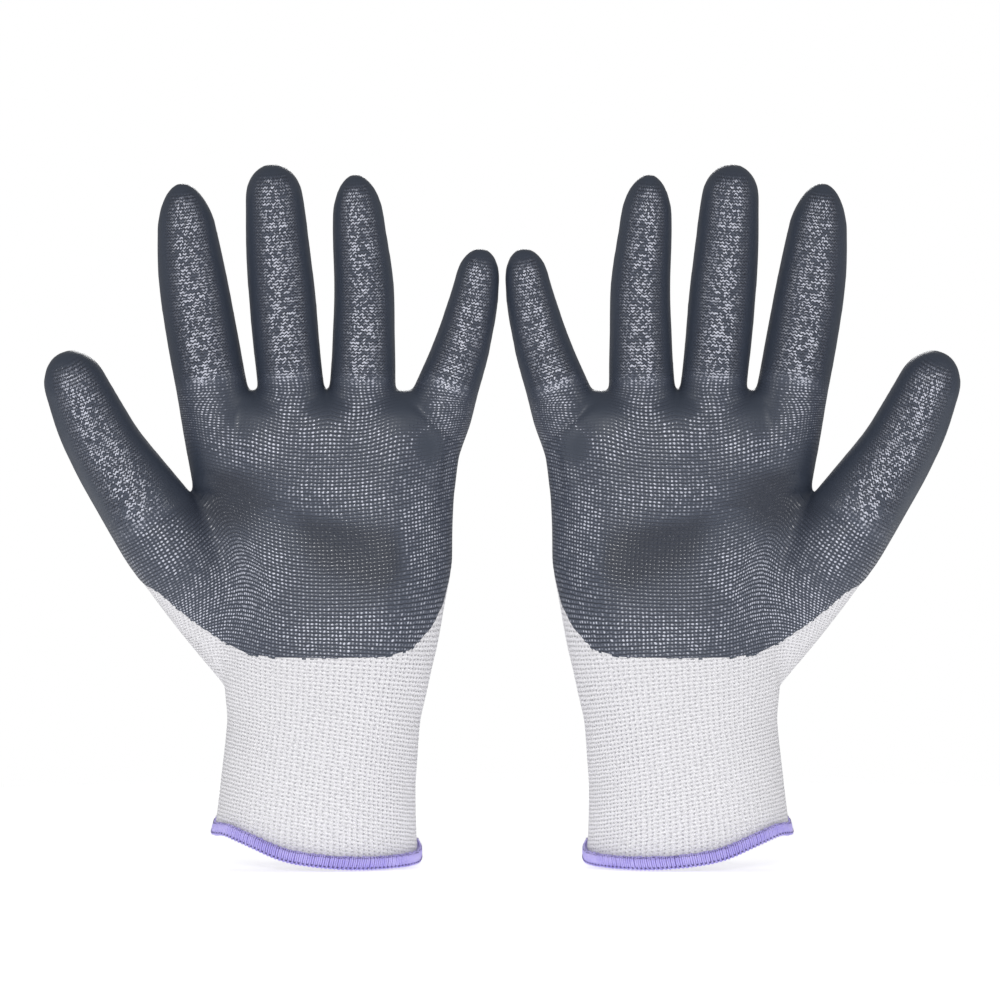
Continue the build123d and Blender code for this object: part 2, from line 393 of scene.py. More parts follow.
class Place:
    """Knit and coating coordinates of many skin points: wales across, courses up, rubber edge."""

    def __init__(self, co):
        self.co = co
        self.every = np.arange(len(co))
        self.measure_digits()
        self.measure_hand()
        self.lay_knit()
        self.lay_coating()
        self.lay_finish_and_painted_light()

    def measure_digits(self):
        """Height s past each root bend, reach in radii from the centre line, and angle round it."""
        rows = [self.round_digit(digit) for digit in DIGITS]
        self.all_s, self.all_reach, self.all_angle = (np.array(row) for row in zip(*rows))
        depth = np.array([digit.root_depth for digit in DIGITS])[:, None]
        rank = self.all_reach - 0.2 * np.minimum(self.all_s, 0) / depth
        rank[4] = np.where(self.all_s[4] < -70 * MM, 1e6, rank[4])
        self.digit = np.argmin(rank, axis=0)
        self.finger = np.argmin(rank[:4], axis=0)
        self.reach = self.all_reach[self.digit, self.every]
        self.s = self.all_s[self.finger, self.every]
        self.angle = self.all_angle[self.finger, self.every]

    def round_digit(self, digit):
        lower, upper = np.array(digit.lower), np.array(digit.upper)
        root, middle = np.array(digit.root), np.array(digit.middle)
        s_low = (self.co - root) @ lower
        s_high = (self.co - middle) @ upper + digit.first
        t = smoothstep(digit.first - BEND_REACH, digit.first + BEND_REACH, s_low)
        s = s_low * (1 - t) + s_high * t
        line = np.where((s < digit.first)[:, None], root + lower * s[:, None],
                        middle + upper * (s - digit.first)[:, None])
        off = self.co - line
        across = np.cross((0, 1, 0), lower)
        across /= np.linalg.norm(across)
        back = np.cross(lower, across)
        side, behind = off @ across, off @ back
        return s, np.hypot(side, behind) / digit.radii[0], np.arctan2(side, -behind)

    def measure_hand(self):
        self.z = (self.co[:, 2] - CAD_LIFT.z) / MM
        self.x = self.co[:, 0] / MM
        self.y = (self.co[:, 1] - CAD_LIFT.y) / MM
        heights = [row[0] for row in HAND_SECTIONS]
        left, right, depth = (np.interp(self.z, heights, [row[k] for row in HAND_SECTIONS])
                              for k in (1, 2, 3))
        self.centre, self.half, self.deep = (left + right) / 2, (right - left) / 2, depth / 2
        self.thumb_s = self.all_s[4] / MM
        self.thumb_near = smoothstep(1.95, 1.1, self.all_reach[4])

    def turned(self, digit, angle):
        """Wales round a digit, starting from the wale of the palm below its middle."""
        foot = digit.root / MM
        start = round((foot.x - PALM_MIDDLE) / STITCH_REPEAT) * STITCH_REPEAT
        return start + digit.wales * angle / (2 * math.pi)

    def mound(self, x, z, wide, tall):
        return np.exp(-((self.x - x) / wide) ** 2 - ((self.z - z) / tall) ** 2)

    def lay_knit(self):
        """u counts millimetres across the wales and v up the courses."""
        wide = np.clip((self.x - self.centre) / self.half, -1, 1)
        total = HAND_WALES * STITCH_REPEAT
        rim = np.where(self.y < 0, self.y + self.deep, self.deep - self.y)
        path = np.abs(self.x - self.centre) + np.clip(rim, 0, self.deep) * wide ** 2
        front_u = np.sign(wide) * path * total / (4 * (self.half + self.deep))
        u = np.where(self.y < 0, front_u, np.sign(wide) * total / 2 - front_u)
        slope = 0.19 * (1 - smoothstep(35, 95, self.z))
        v = self.z + slope * (self.x - self.centre) - 0.0035 * (self.x - self.centre) ** 2 * (
            smoothstep(75, 110, self.z) * smoothstep(170, 150, self.z))
        for *place, rise in ROW_ARCHES:
            v -= rise * self.mound(*place)
        beside = self.all_reach[self.finger, self.every] < 1.6
        on_finger = smoothstep(-9, 3, self.s / MM) * beside
        for number, digit in enumerate(DIGITS[:4]):
            own = self.finger == number
            weight = np.where(own, on_finger, 0)
            u = u * (1 - weight) + self.turned(digit, self.angle) * weight
            v = v * (1 - weight) + (self.s + digit.root.z) / MM * weight
        thumb = DIGITS[4]
        weight = smoothstep(-66, -18, self.thumb_s) * self.thumb_near
        self.u = u * (1 - weight) + self.turned(thumb, self.all_angle[4]) * weight
        self.v = v * (1 - weight) + (self.thumb_s + thumb.root.z / MM + 8) * weight

    def lay_coating(self):
        """Metres inside the rubber's edge: over 0 where the glove is dipped."""
        edge_x, edge_z = zip(*COAT_EDGE)
        climb = 1.2 * np.maximum(self.y + 5, 0)          # the edge rises towards the back
        over_edge = (self.z - climb - np.interp(self.x, edge_x, edge_z)) * 0.8
        before_side = 3.2 - self.y + 1.2 * np.sin(self.z * 0.11)
        coat = rounded_least(over_edge, before_side, 2.0)
        for number, digit in enumerate(DIGITS):
            s = self.all_s[number] / MM
            length = (digit.first + digit.second) / MM
            angle = np.abs(self.all_angle[number])
            side = digit.radii[1] / MM * (math.radians(DIPPED_ANGLE) - angle) + 0.5 * np.sin(s * 0.23)
            around = -rounded_least(-side, (length - DIPPED_TIP - s) * 0.8, 1.5)
            if digit.name == "thumb":
                weight = smoothstep(-26, -4, s) * smoothstep(1.7, 1.2, self.all_reach[4])
            else:
                weight = np.where(self.digit == number, smoothstep(-8, 2, s), 0)
            coat = coat * (1 - weight) + around * weight
        self.coat = coat * MM

    def lay_finish_and_painted_light(self):
        """Where the rubber is crinkled and where it is plain, with its painted highlights and painted
        shade, and how much painted shade the knit's dimples take.
        """
        own_s = self.all_s[self.digit, self.every] / MM
        angle = self.all_angle[self.digit, self.every]
        length = np.array([(d.first + d.second) / MM for d in DIGITS])[self.digit]
        near = np.where(self.digit == 4, self.thumb_near, 1.0)
        self.fingers = np.where(self.digit == 4, smoothstep(-12, 14, own_s),
                                smoothstep(-9, 5, own_s)) * near
        sides = smoothstep(0.62, 0.95, np.abs(angle - 0.02)) * self.fingers
        ends = smoothstep(-5, -1.5, own_s - length)
        plain = np.maximum(sides, ends)
        for x, z, size in PLAIN_WEBS:
            from_web = np.hypot(self.x - x, (self.z - z) * 0.8) / size
            plain = np.maximum(plain, np.exp(-from_web ** 2.5))
        along = np.array(HOLLOW_WAY) / np.hypot(*HOLLOW_WAY)
        offset = np.stack((self.x - HOLLOW_START[0], self.z - HOLLOW_START[1]), 1)
        past = np.clip(offset @ along, 0, HOLLOW_LENGTH)
        hollow = np.exp(-((offset - past[:, None] * along) ** 2).sum(1) / HOLLOW_WIDTH ** 2)
        self.plain = np.maximum(plain, 0.25 * hollow)
        painted_light_and_shade = np.zeros(len(self.co))
        for place in PAINTED_HIGHLIGHT_PATCHES:
            painted_light_and_shade = np.maximum(painted_light_and_shade, self.mound(*place))
        ring = np.hypot(self.x - BALL_MIDDLE[0], (self.z - BALL_MIDDLE[1]) * 0.9)
        arc = np.exp(-((ring - BALL_RADIUS) / BALL_WIDTH) ** 2)
        arc = arc * smoothstep(-122, -104, self.x) * (self.z < BALL_MIDDLE[1])
        # A painted highlight streak along each digit, a little off its middle, with a weaker one on the
        # other side.
        streak = np.exp(-((angle + 0.18) / 0.20) ** 2) + 0.45 * np.exp(-((angle - 0.25) / 0.28) ** 2)
        streak *= near * smoothstep(-30, -8, own_s) * smoothstep(-2, -9, own_s - length)
        bright = np.maximum(np.maximum(painted_light_and_shade, arc) * (1 - self.fingers), 1.35 * streak)
        # Over 0 for painted highlight, under 0 for painted shade: along the palm's hollow, a little over
        # the whole palm, and on the digits beside their streaks.
        self.painted_light_and_shade = bright - (hollow + 0.10) * (1 - self.fingers) - 0.30 * self.fingers
        half_turn = math.pi / (HAND_WALES / 2 * STITCH_REPEAT)
        # How strongly painted shade darkens the knit's dimples: it changes slowly round the hand and is
        # even on the digits.
        self.painted_dimple_shade = 0.62 + 0.38 * np.sin((self.u - 8) * half_turn) * (1 - self.fingers)


# ---- Cutting the skin into pieces --------------------------------------------------------
ROOT_BLEND = (-4.0 * MM, 12.0 * MM)     # the fold at a root bend, along the digit
MIDDLE_BLEND = (-9.0 * MM, 11.0 * MM)   # the fold at a middle bend


def cut_planes(digit):
    """Two planes across a digit, where its root piece and its tip piece start."""
    low = digit.root + digit.lower * ROOT_BLEND[0]
    middle_normal = (digit.lower + digit.upper).normalized()
    high = digit.middle + middle_normal * MIDDLE_BLEND[0]
    return (low, digit.lower), (high, middle_normal)


def cut_skin(skin):
    """New edge loops along every line where pieces part, with what is below the hem removed."""
    work = bmesh.new()
    work.from_mesh(skin.data)
    hem_line = HEM_MIDDLE + HEM_NORMAL * (HEM_HEIGHT * 0.5)
    bmesh.ops.bisect_plane(work, geom=work.verts[:] + work.edges[:] + work.faces[:],
                           plane_co=hem_line, plane_no=HEM_NORMAL, clear_inner=True)
    bmesh.ops.bisect_plane(work, geom=work.verts[:] + work.edges[:] + work.faces[:],
                           plane_co=(0, 0, CUFF_TOP), plane_no=(0, 0, 1))
    for digit in DIGITS:
        for plane_co, plane_no in cut_planes(digit):
            limit = digit.radii[0] * 1.5
            near = [f for f in work.faces if (f.calc_center_median() - plane_co).length < limit]
            edges = {e for f in near for e in f.edges}
            verts = {v for f in near for v in f.verts}
            bmesh.ops.bisect_plane(work, geom=[*near, *edges, *verts],
                                   plane_co=plane_co, plane_no=plane_no)
    split_at_coating(work)
    work.normal_update()
    work.to_mesh(skin.data)
    work.free()
    skin.data.update()


def split_at_coating(work):
    """Edges along the line where the rubber ends."""
    work.verts.ensure_lookup_table()
    work.verts.index_update()
    coat = Place(np.array([v.co for v in work.verts])).coat
    crossing = []
    for edge in work.edges:
        a, b = (coat[v.index] for v in edge.verts)
        if (a > 0) != (b > 0):
            crossing.append((edge, a / (a - b)))
    fresh = set()
    for edge, share in crossing:
        share = min(max(share, 0.08), 0.92)
        fresh.add(bmesh.utils.edge_split(edge, edge.verts[0], share)[1])
    for face in list(work.faces):
        ends = [v for v in face.verts if v in fresh]
        if len(ends) == 2:
            try:
                bmesh.utils.face_split(face, ends[0], ends[1])
            except ValueError:
                continue


# The cuff's edge against the hem's plane, in millimetres.
HEM_HANG = 2.6                                 # how far the sides and the back hang below it
HEM_SIDE_HANG = 0.4                            # and the little finger's side besides
HEM_RISES = ((2.4, -91, 10), (2.6, -101, 6))   # the front's rise by the thumb: height, middle, width


def hem_sag(x, y):
    """Metres by which the cuff's edge is below the hem's plane, and under 0 where it is above."""
    behind = smoothstep(-16, 3, y / MM)
    raised = sum(rise * np.exp(-((x / MM - middle) / wide) ** 2) for rise, middle, wide in HEM_RISES)
    low_side = HEM_SIDE_HANG * smoothstep(-46, -31, x / MM)
    return (HEM_HANG * behind + low_side - raised * (1 - behind)) * MM


def sag_cuff(skin):
    """Lets the cuff's lower stretch hang with its edge."""
    co = points_of(skin.data)
    co[:, 2] -= hem_sag(co[:, 0], co[:, 1]) * smoothstep(52 * MM, 12 * MM, co[:, 2])
    move_points(skin.data, co)


class Skin:
    """The finished skin as arrays: points, normals, faces, and which piece each face is in."""

    def __init__(self, obj):
        mesh = obj.data
        self.co = points_of(mesh)
        self.normal = points_of(mesh, "normal")
        self.faces = [tuple(p.vertices) for p in mesh.polygons]
        self.place = Place(self.co)
        centres = np.array([p.center for p in mesh.polygons])
        middle = Place(centres)
        self.zone = np.full(len(centres), "hand", dtype=object)
        self.zone[centres[:, 2] < CUFF_TOP] = "cuff"
        for number, digit in enumerate(DIGITS):
            (low, low_normal), (high, high_normal) = cut_planes(digit)
            own = (middle.digit == number) & (middle.reach < 1.45)
            past_low = (centres - np.array(low)) @ np.array(low_normal) > 0
            past_high = (centres - np.array(high)) @ np.array(high_normal) > 0
            self.zone[own & past_low] = f"{digit.name}_root"
            self.zone[own & past_low & past_high] = f"{digit.name}_tip"
        mean_coat = np.array([self.place.coat[list(f)].mean() for f in self.faces])
        self.dipped = mean_coat > 0


def shell_piece(name, skin, chosen, outer, thickness, mirrored):
    """A closed shell over the chosen faces: outer skin, inner skin and rim, with knit UVs."""
    faces = [skin.faces[k] for k in np.flatnonzero(chosen)]
    used = np.unique(np.concatenate([np.array(f) for f in faces]))
    local = {int(v): k for k, v in enumerate(used)}
    faces = [[local[v] for v in f] for f in faces]
    normal = skin.normal[used]
    top = skin.co[used] + normal * outer[used][:, None]
    under = top - normal * thickness[used][:, None]
    count = len(used)
    flip = -1 if mirrored else 1
    points = np.concatenate((top, under)) * (flip, 1, 1)
    loop_normal = np.concatenate((normal, -normal)) * (flip, 1, 1)
    edges = {}
    for face in faces:
        for a, b in zip(face, face[1:] + face[:1]):
            if (b, a) in edges:
                del edges[(b, a)]
            else:
                edges[(a, b)] = True
    rim = [(b, a, a + count, b + count) for a, b in edges]
    inner = [[v + count for v in reversed(face)] for face in faces]
    every = [list(f) for f in faces] + inner + [list(f) for f in rim]
    if mirrored:
        every = [f[::-1] for f in every]
    obj = mesh_object(name, points, every)
    mesh = obj.data
    write_uv(mesh, skin.place.u[used], skin.place.v[used], count)
    write_value(mesh, "coat_edge", np.tile(skin.place.coat[used] / MM, 2))
    # The rubber's finish, and the painted light and shade for both materials.
    for finish_and_painted_light in ("fingers", "plain", "painted_light_and_shade", "painted_dimple_shade"):
        write_value(mesh, finish_and_painted_light, np.tile(getattr(skin.place, finish_and_painted_light)[used], 2))
    mesh.shade_smooth()
    rim_start = len(faces) * 2
    custom = []
    for index, polygon in enumerate(mesh.polygons):
        for vertex in polygon.vertices:
            custom.append(polygon.normal[:] if index >= rim_start else loop_normal[vertex])
    mesh.normals_split_custom_set([tuple(float(c) for c in n) for n in custom])
    return obj


def write_uv(mesh, u, v, count):
    """Knit coordinates on the faces' corners, kept whole where the count of wales wraps round."""
    layer = mesh.uv_layers.new(name="knit")
    values = np.empty(len(mesh.loops) * 2)
    corner = np.empty(len(mesh.loops), int)
    mesh.loops.foreach_get("vertex_index", corner)
    start = np.empty(len(mesh.polygons), int)
    mesh.polygons.foreach_get("loop_start", start)
    total = np.empty(len(mesh.polygons), int)
    mesh.polygons.foreach_get("loop_total", total)
    first = np.repeat(start, total)
    corner_u, corner_v = u[corner % count], v[corner % count]
    step = corner_u - corner_u[first]
    step -= np.round(step / STITCH_REPEAT) * STITCH_REPEAT * (np.abs(step) > 2.2)
    values[0::2] = corner_u[first] + step
    values[1::2] = corner_v
    layer.data.foreach_set("uv", values)


def write_value(mesh, name, values):
    attribute = mesh.attributes.new(name, "FLOAT", "POINT")
    attribute.data.foreach_set("value", values.astype(np.float32))


# ---- The sewn hem ------------------------------------------------------------------------
WRAP_PITCH = 0.76 * MM
WRAP_WIDTH, WRAP_RISE = 0.36 * MM, 0.34 * MM    # half the width of a thread wrap, and its height
CHAIN_PITCH, FUZZ_PITCH = 1.5 * MM, 0.62 * MM   # loops along the lower edge, ends along the upper
# Outline of the hem across the cloth's edge, millimetres outwards and up, from outside to inside.
HEM_OUTLINE = ((0.10, 4.85), (0.72, 4.15), (0.92, 2.9), (0.90, 1.5), (0.55, 0.45), (-0.25, 0.05),
               (-1.05, 0.45), (-1.42, 1.6), (-1.42, 3.1), (-1.12, 4.3))


class HemPath:
    """Evenly spaced places along the cuff's lower edge, with the ways outward and along."""

    def __init__(self):
        loop = np.array([self.edge_point(angle) for angle in np.linspace(0, 2 * math.pi, 1441)])
        steps = np.linalg.norm(np.diff(loop, axis=0), axis=1)
        walked = np.concatenate(([0], np.cumsum(steps)))
        self.length = walked[-1]
        self.count = round(self.length / WRAP_PITCH)
        self.walked, self.loop = walked, loop
        self.up = np.array(HEM_NORMAL)

    @staticmethod
    def edge_point(angle):
        """Where the hand's surface meets the hem's plane, let down by the cuff's own sag."""
        point = HEM_MIDDLE.copy()
        for _ in range(6):
            point = hand_point((point.z - CAD_LIFT.z) / MM, angle)
            drop = (point - HEM_MIDDLE).dot(HEM_NORMAL)
            point.z -= drop / HEM_NORMAL.z
        point.z -= float(hem_sag(point.x, point.y))
        return point

    def spot(self, distance):
        return np.array([np.interp(distance % self.length, self.walked, self.loop[:, k])
                         for k in range(3)])

    def at(self, distance):
        """Place, way outward and way along, at a distance walked along the edge."""
        reach = 0.6 * MM
        here, before, after = (self.spot(distance + step) for step in (0, -reach, reach))
        along = (after - before) / np.linalg.norm(after - before)
        outward = np.cross(along, self.up)
        return here, outward / np.linalg.norm(outward), along


def swept_loop(path, count, section):
    """Points and faces of a closed tube round the hem; section(n) gives one ring's points."""
    rings = [section(n, *path.at(n * path.length / count)) for n in range(count)]
    size = len(rings[0])
    points = [p for ring in rings for p in ring]
    faces = []
    for n in range(count):
        for k in range(size):
            a, b = n * size + k, n * size + (k + 1) % size
            c, d = ((n + 1) % count) * size + (k + 1) % size, ((n + 1) % count) * size + k
            faces.append((a, b, c, d))
    return points, faces


def outline_way_out(k):
    """Unit direction, outwards and up, in which the hem's outline faces at its point k."""
    before, after = HEM_OUTLINE[max(k - 1, 0)], HEM_OUTLINE[min(k + 1, len(HEM_OUTLINE) - 1)]
    run = Vector((after[0] - before[0], after[1] - before[1])).normalized()
    return -run.y, run.x


def hem_core(path):
    def section(_, place, outward, along):
        return [place + (outward * out + path.up * high) * MM for out, high in HEM_OUTLINE]
    return swept_loop(path, path.count, section)


def hem_wrap(path, number, random):
    """One turn of thread over the cloth's edge, leaning a little and ending unevenly."""
    distance = number * path.length / path.count
    shift, end, rise = random.normal(0, 0.05), random.normal(0, 0.16), random.uniform(0.8, 1.15)
    points = []
    for k, (out, high) in enumerate(HEM_OUTLINE):
        way = outline_way_out(k)
        tall = high + (end if k in (0, len(HEM_OUTLINE) - 1) else 0)
        slant = (0.55 * (high / 5 - 0.5) * (1 if k < 5 else -1) + shift) * MM
        place, outward, along = path.at(distance + slant)
        middle = place + (outward * out + path.up * tall) * MM
        face = outward * way[0] + path.up * way[1]
        for side, lift in ((-1, -0.4), (-0.55, 1), (0.55, 1), (1, -0.4)):
            points.append(middle + along * (side * WRAP_WIDTH) + face * (lift * rise * WRAP_RISE))
    faces = [(3, 2, 1, 0)]
    for k in range(len(HEM_OUTLINE) - 1):
        for j in range(4):
            a, b = 4 * k + j, 4 * k + (j + 1) % 4
            faces.append((a, b, b + 4, a + 4))
    last = 4 * (len(HEM_OUTLINE) - 1)
    faces.append((last, last + 1, last + 2, last + 3))
    return points, faces


def hem_strand(path, out, high, radius, sway, rise, period, phase):
    """A thread run along the hem that weaves sideways by sway and up by rise."""
    rings_per_wave = 8
    count = round(path.length / period) * rings_per_wave

    def section(n, place, outward, along):
        turn = 2 * math.pi * (n / rings_per_wave) + phase
        middle = place + outward * (out * MM + sway * math.cos(turn)) + path.up * (
            high * MM + rise * math.sin(turn))
        ring = []
        for k in range(6):
            angle = -2 * math.pi * k / 6
            ring.append(middle + (outward * math.cos(angle) + path.up * math.sin(angle)) * radius)
        return ring
    return swept_loop(path, count, section)


def hem_stitch(path, distance, out, high, half_length, half_height, turn):
    """One small dark loop of thread lying on the hem, as a faceted bead."""
    place, outward, along = path.at(distance)
    middle = place + (outward * out + path.up * high) * MM
    run = along * math.cos(turn) + path.up * math.sin(turn)
    rise = path.up * math.cos(turn) - along * math.sin(turn)
    long, tall, deep = run * half_length * MM, rise * half_height * MM, outward * 0.16 * MM
    points = [middle + long, middle + tall, middle - long, middle - tall, middle + deep, middle - deep]
    faces = [(0, 1, 4), (1, 2, 4), (2, 3, 4), (3, 0, 4), (1, 0, 5), (2, 1, 5), (3, 2, 5), (0, 3, 5)]
    return points, faces


def gather(parts, name, flip):
    """One mesh object from several lists of points and faces."""
    points, faces = [], []
    for part_points, part_faces in parts:
        base = len(points)
        points += [(p[0] * flip, p[1], p[2]) for p in part_points]
        faces += [tuple(v + base for v in face) for face in part_faces]
    obj = mesh_object(name, points, faces)
    work = bmesh.new()
    work.from_mesh(obj.data)
    bmesh.ops.recalc_face_normals(work, faces=work.faces)
    work.to_mesh(obj.data)
    work.free()
    obj.data.shade_smooth()
    return obj


def hem_pieces(side, path, materials):
    flip = -1 if side == "right" else 1
    random = np.random.default_rng(11)
    wraps = [hem_wrap(path, n, random) for n in range(path.count)]
    edging = [hem_strand(path, 1.12, 0.62, 0.15 * MM, 0.14 * MM, 0.42 * MM, CHAIN_PITCH * 2, phase)
              for phase in (0, math.pi)]
    loops = round(path.length / CHAIN_PITCH)
    marks = [hem_stitch(path, (n + 0.5) * path.length / loops, 1.40, 1.10, 0.50, 0.36, 0.5)
             for n in range(loops)]
    for n in range(round(path.length / FUZZ_PITCH)):
        distance = (n + random.uniform(-0.3, 0.3)) * FUZZ_PITCH
        marks.append(hem_stitch(path, distance, 0.86, 4.60 + random.normal(0, 0.24),
                                random.uniform(0.20, 0.40), 0.17, random.uniform(-1.2, 1.2)))
    # The core under the wraps is dark lilac: painted shade in the gaps between them.
    for name, parts, material in (("core", [hem_core(path)], "thread_painted_shade"),
                                  ("wraps", wraps, "thread"), ("edging", edging, "thread"),
                                  ("marks", marks, "thread_edge")):
        piece = gather(parts, f"{side}_hem_{name}", flip)
        piece.data.materials.append(materials[material])
        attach(piece, f"{side}_hand")
        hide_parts(f"{side}_overlock_hem")


# ---- Materials ---------------------------------------------------------------------------
class Nodes:
    """A material's node tree, with short calls for the sums that patterns are made of."""

    def __init__(self, name):
        self.material = bpy.data.materials.new(name)
        self.material.use_nodes = True
        self.tree = self.material.node_tree
        self.tree.nodes.clear()
        self.shader = self.add("ShaderNodeBsdfPrincipled")
        output = self.add("ShaderNodeOutputMaterial")
        self.tree.links.new(self.shader.outputs["BSDF"], output.inputs["Surface"])

    def add(self, kind):
        return self.tree.nodes.new(kind)

    def plug(self, value, socket):
        if isinstance(value, bpy.types.NodeSocket):
            self.tree.links.new(value, socket)
        else:
            socket.default_value = value

    def sum(self, operation, *values):
        node = self.add("ShaderNodeMath")
        node.operation = operation
        for value, socket in zip(values, node.inputs):
            self.plug(value, socket)
        return node.outputs[0]

    def plus(self, a, b):
        return self.sum("ADD", a, b)

    def minus(self, a, b):
        return self.sum("SUBTRACT", a, b)

    def times(self, a, b):
        return self.sum("MULTIPLY", a, b)

    def over(self, a, b):
        return self.sum("DIVIDE", a, b)

    def squared(self, a):
        return self.sum("POWER", a, 2.0)

    def hump(self, value, half):
        """1 in the middle of a cell, falling to 0 at half a width either side."""
        return self.sum("MAXIMUM", self.minus(1.0, self.squared(self.over(value, half))), 0.0)

    def ramp(self, value, low, high, out_low=0.0, out_high=1.0):
        node = self.add("ShaderNodeMapRange")
        node.interpolation_type = "SMOOTHSTEP"
        for number, item in enumerate((value, low, high, out_low, out_high)):
            self.plug(item, node.inputs[number])
        return node.outputs[0]

    def blend(self, share, low, high):
        node = self.add("ShaderNodeMix")
        node.data_type = "RGBA"
        self.plug(share, node.inputs["Factor"])
        self.plug(low, node.inputs["A"])
        self.plug(high, node.inputs["B"])
        return node.outputs["Result"]

    def uv(self, name):
        node = self.add("ShaderNodeUVMap")
        node.uv_map = name
        split = self.add("ShaderNodeSeparateXYZ")
        self.tree.links.new(node.outputs[0], split.inputs[0])
        return node.outputs[0], split.outputs[0], split.outputs[1]

    def value(self, name):
        node = self.add("ShaderNodeAttribute")
        node.attribute_name = name
        return node.outputs["Fac"]

    def noise(self, vector, scale, detail=2.0):
        node = self.add("ShaderNodeTexNoise")
        self.plug(vector, node.inputs["Vector"])
        node.inputs["Scale"].default_value = scale
        node.inputs["Detail"].default_value = detail
        return node.outputs[0]

    def sway(self, vector, scale, size):
        """Slow noise either side of 0."""
        return self.times(self.minus(self.noise(vector, scale), 0.5), size)

    def cell_noise(self, across, up):
        """One random value for each whole step of the two coordinates."""
        join = self.add("ShaderNodeCombineXYZ")
        self.plug(self.sum("FLOOR", across), join.inputs[0])
        self.plug(self.sum("FLOOR", up), join.inputs[1])
        node = self.add("ShaderNodeTexWhiteNoise")
        node.noise_dimensions = "2D"
        self.tree.links.new(join.outputs[0], node.inputs["Vector"])
        return node.outputs["Value"]

    def object_coordinates(self):
        return self.add("ShaderNodeTexCoord").outputs["Object"]

    def bump(self, height, distance, below=None):
        node = self.add("ShaderNodeBump")
        node.inputs["Strength"].default_value = 1.0
        node.inputs["Distance"].default_value = distance
        self.plug(height, node.inputs["Height"])
        if below is not None:
            self.plug(below, node.inputs["Normal"])
        return node.outputs[0]

    def set(self, **values):
        for name, value in values.items():
            self.plug(value, self.shader.inputs[name.replace("_", " ")])


def centred(nodes, coordinate, pitch, shift=0.0):
    """Distance from the middle of the current cell, from -0.5 to 0.5, and the cell count."""
    count = nodes.plus(nodes.over(coordinate, pitch), shift)
    return nodes.minus(nodes.sum("FRACT", count), 0.5), count


KNIT_WALE, KNIT_COURSE = 2.1, 1.36     # millimetres between dimples of the bare knit
DOT_WALE, DOT_COURSE = 1.4, 1.30       # millimetres between beads of the rubber
CRINKLE_WALE, CRINKLE_COURSE = 1.4, 1.15    # millimetres between its folds on the digits
KNIT_RELIEF, BEAD_RELIEF, FIBRE_RELIEF = 0.00026, 0.00009, 0.00006    # metres that bumps stand up

# The knit's white, and the colour of the painted shade in its dimples.
KNIT_WHITE, KNIT_DIMPLE_SHADE = (0.86, 0.85, 0.885, 1), (0.33, 0.31, 0.39, 1)
KNIT_GREY, KNIT_FLECK = (0.57, 0.56, 0.60, 1), (0.99, 0.99, 1.0, 1)
RUBBER_SOAKED = (0.072, 0.088, 0.118, 1)     # seen through the knit at the rubber's edge
# Valley colours are painted shade between the rows; the first crest colour is painted shade along the
# palm's hollow and beside the digits' streaks.
RUBBER_VALLEYS = (0.014, 0.017, 0.028, 1), (0.020, 0.024, 0.038, 1)
RUBBER_CRESTS = (0.030, 0.035, 0.052, 1), (0.064, 0.076, 0.108, 1)
# Plain satin rubber, and the pale colour of the painted highlights on the beads' and folds' tops.
RUBBER_PLAIN, RUBBER_PAINTED_HIGHLIGHT = (0.044, 0.055, 0.080, 1), (0.62, 0.64, 0.74, 1)
# Each thread's own name, and its deep, pale and light lilacs.
THREADS = {
    "thread": ("overlock_thread", (0.43, 0.37, 0.86, 1), (0.55, 0.49, 0.93, 1), (0.70, 0.64, 0.96, 1)),
    "thread_edge": ("overlock_edge", (0.045, 0.03, 0.15, 1), (0.08, 0.06, 0.24, 1),
                    (0.16, 0.12, 0.38, 1)),
    # The hem's core, seen only between the wraps: dark lilacs as painted shade.
    "thread_painted_shade": ("overlock_painted_shade", (0.13, 0.10, 0.36, 1), (0.20, 0.16, 0.48, 1),
                     (0.36, 0.31, 0.70, 1)),
}


def stitch_height(nodes, u, v):
    """Bare knit: V-shaped stitches in upright ribs, with a small dimple between them."""
    across, _ = centred(nodes, u, KNIT_WALE / 2)
    lean = nodes.sum("ABSOLUTE", across)
    up, _ = centred(nodes, nodes.plus(v, nodes.times(lean, 0.9)), KNIT_COURSE)
    rib = nodes.sum("COSINE", nodes.times(across, 2 * math.pi))
    loop = nodes.sum("COSINE", nodes.times(up, 2 * math.pi))
    hole_across, _ = centred(nodes, u, KNIT_WALE)
    hole_up, _ = centred(nodes, v, KNIT_COURSE)
    far = nodes.sum("SQRT", nodes.plus(nodes.squared(nodes.times(hole_across, 2.4)),
                                       nodes.squared(nodes.times(hole_up, 2.2))))
    hole = nodes.ramp(far, 0.15, 0.62, 1.0, 0.0)
    body = nodes.plus(nodes.times(rib, 0.22), nodes.times(loop, 0.3))
    return nodes.minus(body, hole), hole


